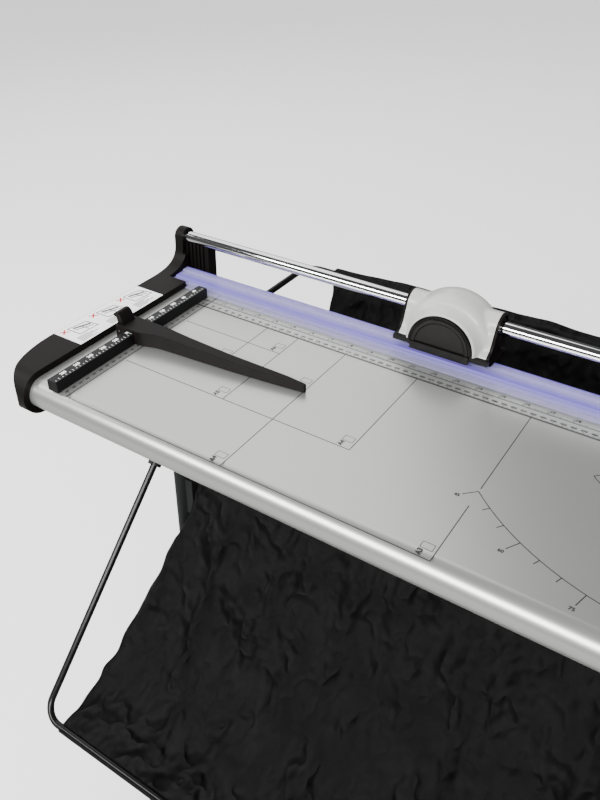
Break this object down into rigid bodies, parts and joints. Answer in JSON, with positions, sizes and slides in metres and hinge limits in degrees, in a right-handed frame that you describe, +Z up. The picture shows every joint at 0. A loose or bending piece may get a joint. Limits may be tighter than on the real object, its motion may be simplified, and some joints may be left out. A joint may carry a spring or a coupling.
{
  "type": "rotary paper trimmer",
  "caption": "Large-format rotary paper trimmer: a sliding cutting head on a round rail over a flat metal bed, on a two-column stand with a catch cloth.",
  "frame": {"origin": "on the floor, under the middle of the whole object's box", "axes": "+X along the cut from the backstop's end, +Y from the operator to the back, +Z up"},
  "size_m": [1.372, 0.6685, 0.941],
  "materials": {
    "satin_aluminium": "satin anodised with a fine grain along the nose, printed scale and format lines",
    "knife_steel": "ground steel",
    "fastener_steel": "zinc-plated steel",
    "black_plastic": "fine-grained moulded black plastic",
    "rail_chrome": "polished hard chrome",
    "label_white": "printed film label",
    "violet_clear": "clear violet-tinted extruded plastic",
    "black_anodised": "black anodised aluminium with a white scale",
    "bush_bronze": "sintered bronze",
    "grey_plastic": "satin light grey moulded plastic",
    "guard_black": "satin black moulded plastic",
    "stand_paint": "dark grey powder coat",
    "rod_paint": "gloss black powder coat",
    "foot_rubber": "moulded rubber",
    "black_nylon": "thin woven black nylon with creases"
  },
  "bodies": {
    "frame": {"bed_extrusion": "satin_aluminium", "bottom_knife": "knife_steel", "knife_screws": "fastener_steel", "end_casting_left": "black_plastic", "end_casting_right": "black_plastic", "rail_support_left": "black_plastic", "rail_support_right": "black_plastic", "guide_rail": "rail_chrome", "rail_bolts": "fastener_steel", "casting_bolts": "fastener_steel", "instruction_label": "label_white", "strip_springs": "fastener_steel", "guide_bar_left": "black_anodised", "guide_bar_right": "black_anodised", "guide_screws": "fastener_steel", "column_left": "stand_paint", "column_right": "stand_paint", "top_bracket_left": "stand_paint", "top_bracket_right": "stand_paint", "bracket_bolts": "fastener_steel", "foot_left": "stand_paint", "foot_right": "stand_paint", "foot_caps": "black_plastic", "foot_pads": "foot_rubber", "cross_tube": "stand_paint", "cross_bracket_left": "stand_paint", "cross_bracket_right": "stand_paint", "rod_bracket_left": "stand_paint", "rod_bracket_right": "stand_paint", "rear_rod": "rod_paint", "front_rod": "rod_paint", "set_screws": "black_plastic", "catch_cloth": "black_nylon"},
    "clamp": {"clamp_strip": "violet_clear"},
    "backstop": {"backstop_arm": "black_plastic", "clamp_shoe": "black_plastic", "lever_pin": "fastener_steel"},
    "lever": {"lock_lever": "black_plastic"},
    "runner": {"runner_block": "black_plastic", "rail_bushes": "bush_bronze", "base_plate": "black_plastic", "base_screws": "fastener_steel", "guide_posts": "fastener_steel", "head_springs": "fastener_steel"},
    "head": {"head_housing": "grey_plastic", "blade_guard": "guard_black", "blade_holder": "black_plastic", "blade_axle": "fastener_steel", "axle_nut": "fastener_steel"},
    "blade": {"blade_hub": "black_plastic", "rotary_blade": "knife_steel", "hub_ring": "fastener_steel"}
  },
  "joints": [
    {"name": "carriage_slide", "type": "slide", "parent": "frame", "child": "runner", "axis": [1, 0, 0], "range_m": [-0.279, 0.877]},
    {"name": "head_press", "type": "slide", "parent": "runner", "child": "head", "axis": [0, 0, -1], "range_m": [0, 0.0024], "stiffness_N_per_m": 1500, "springref_m": -0.004, "deforming": ["head_springs"]},
    {"name": "blade_spin", "type": "hinge", "parent": "head", "child": "blade", "pos_m": [-0.299, 0.12075, 0.889], "axis": [0, 1, 0], "continuous": true},
    {"name": "clamp_press", "type": "slide", "parent": "frame", "child": "clamp", "axis": [0, 0, -1], "range_m": [0, 0.0015], "stiffness_N_per_m": 900, "springref_m": -0.006, "deforming": ["strip_springs"]},
    {"name": "backstop_slide", "type": "slide", "parent": "frame", "child": "backstop", "axis": [0, 1, 0], "range_m": [-0.116, 0.1]},
    {"name": "lock_lever_turn", "type": "hinge", "parent": "backstop", "child": "lever", "pos_m": [-0.6215, -0.04575, 0.88], "axis": [0, 1, 0], "range_deg": [-55, 0]}
  ]
}
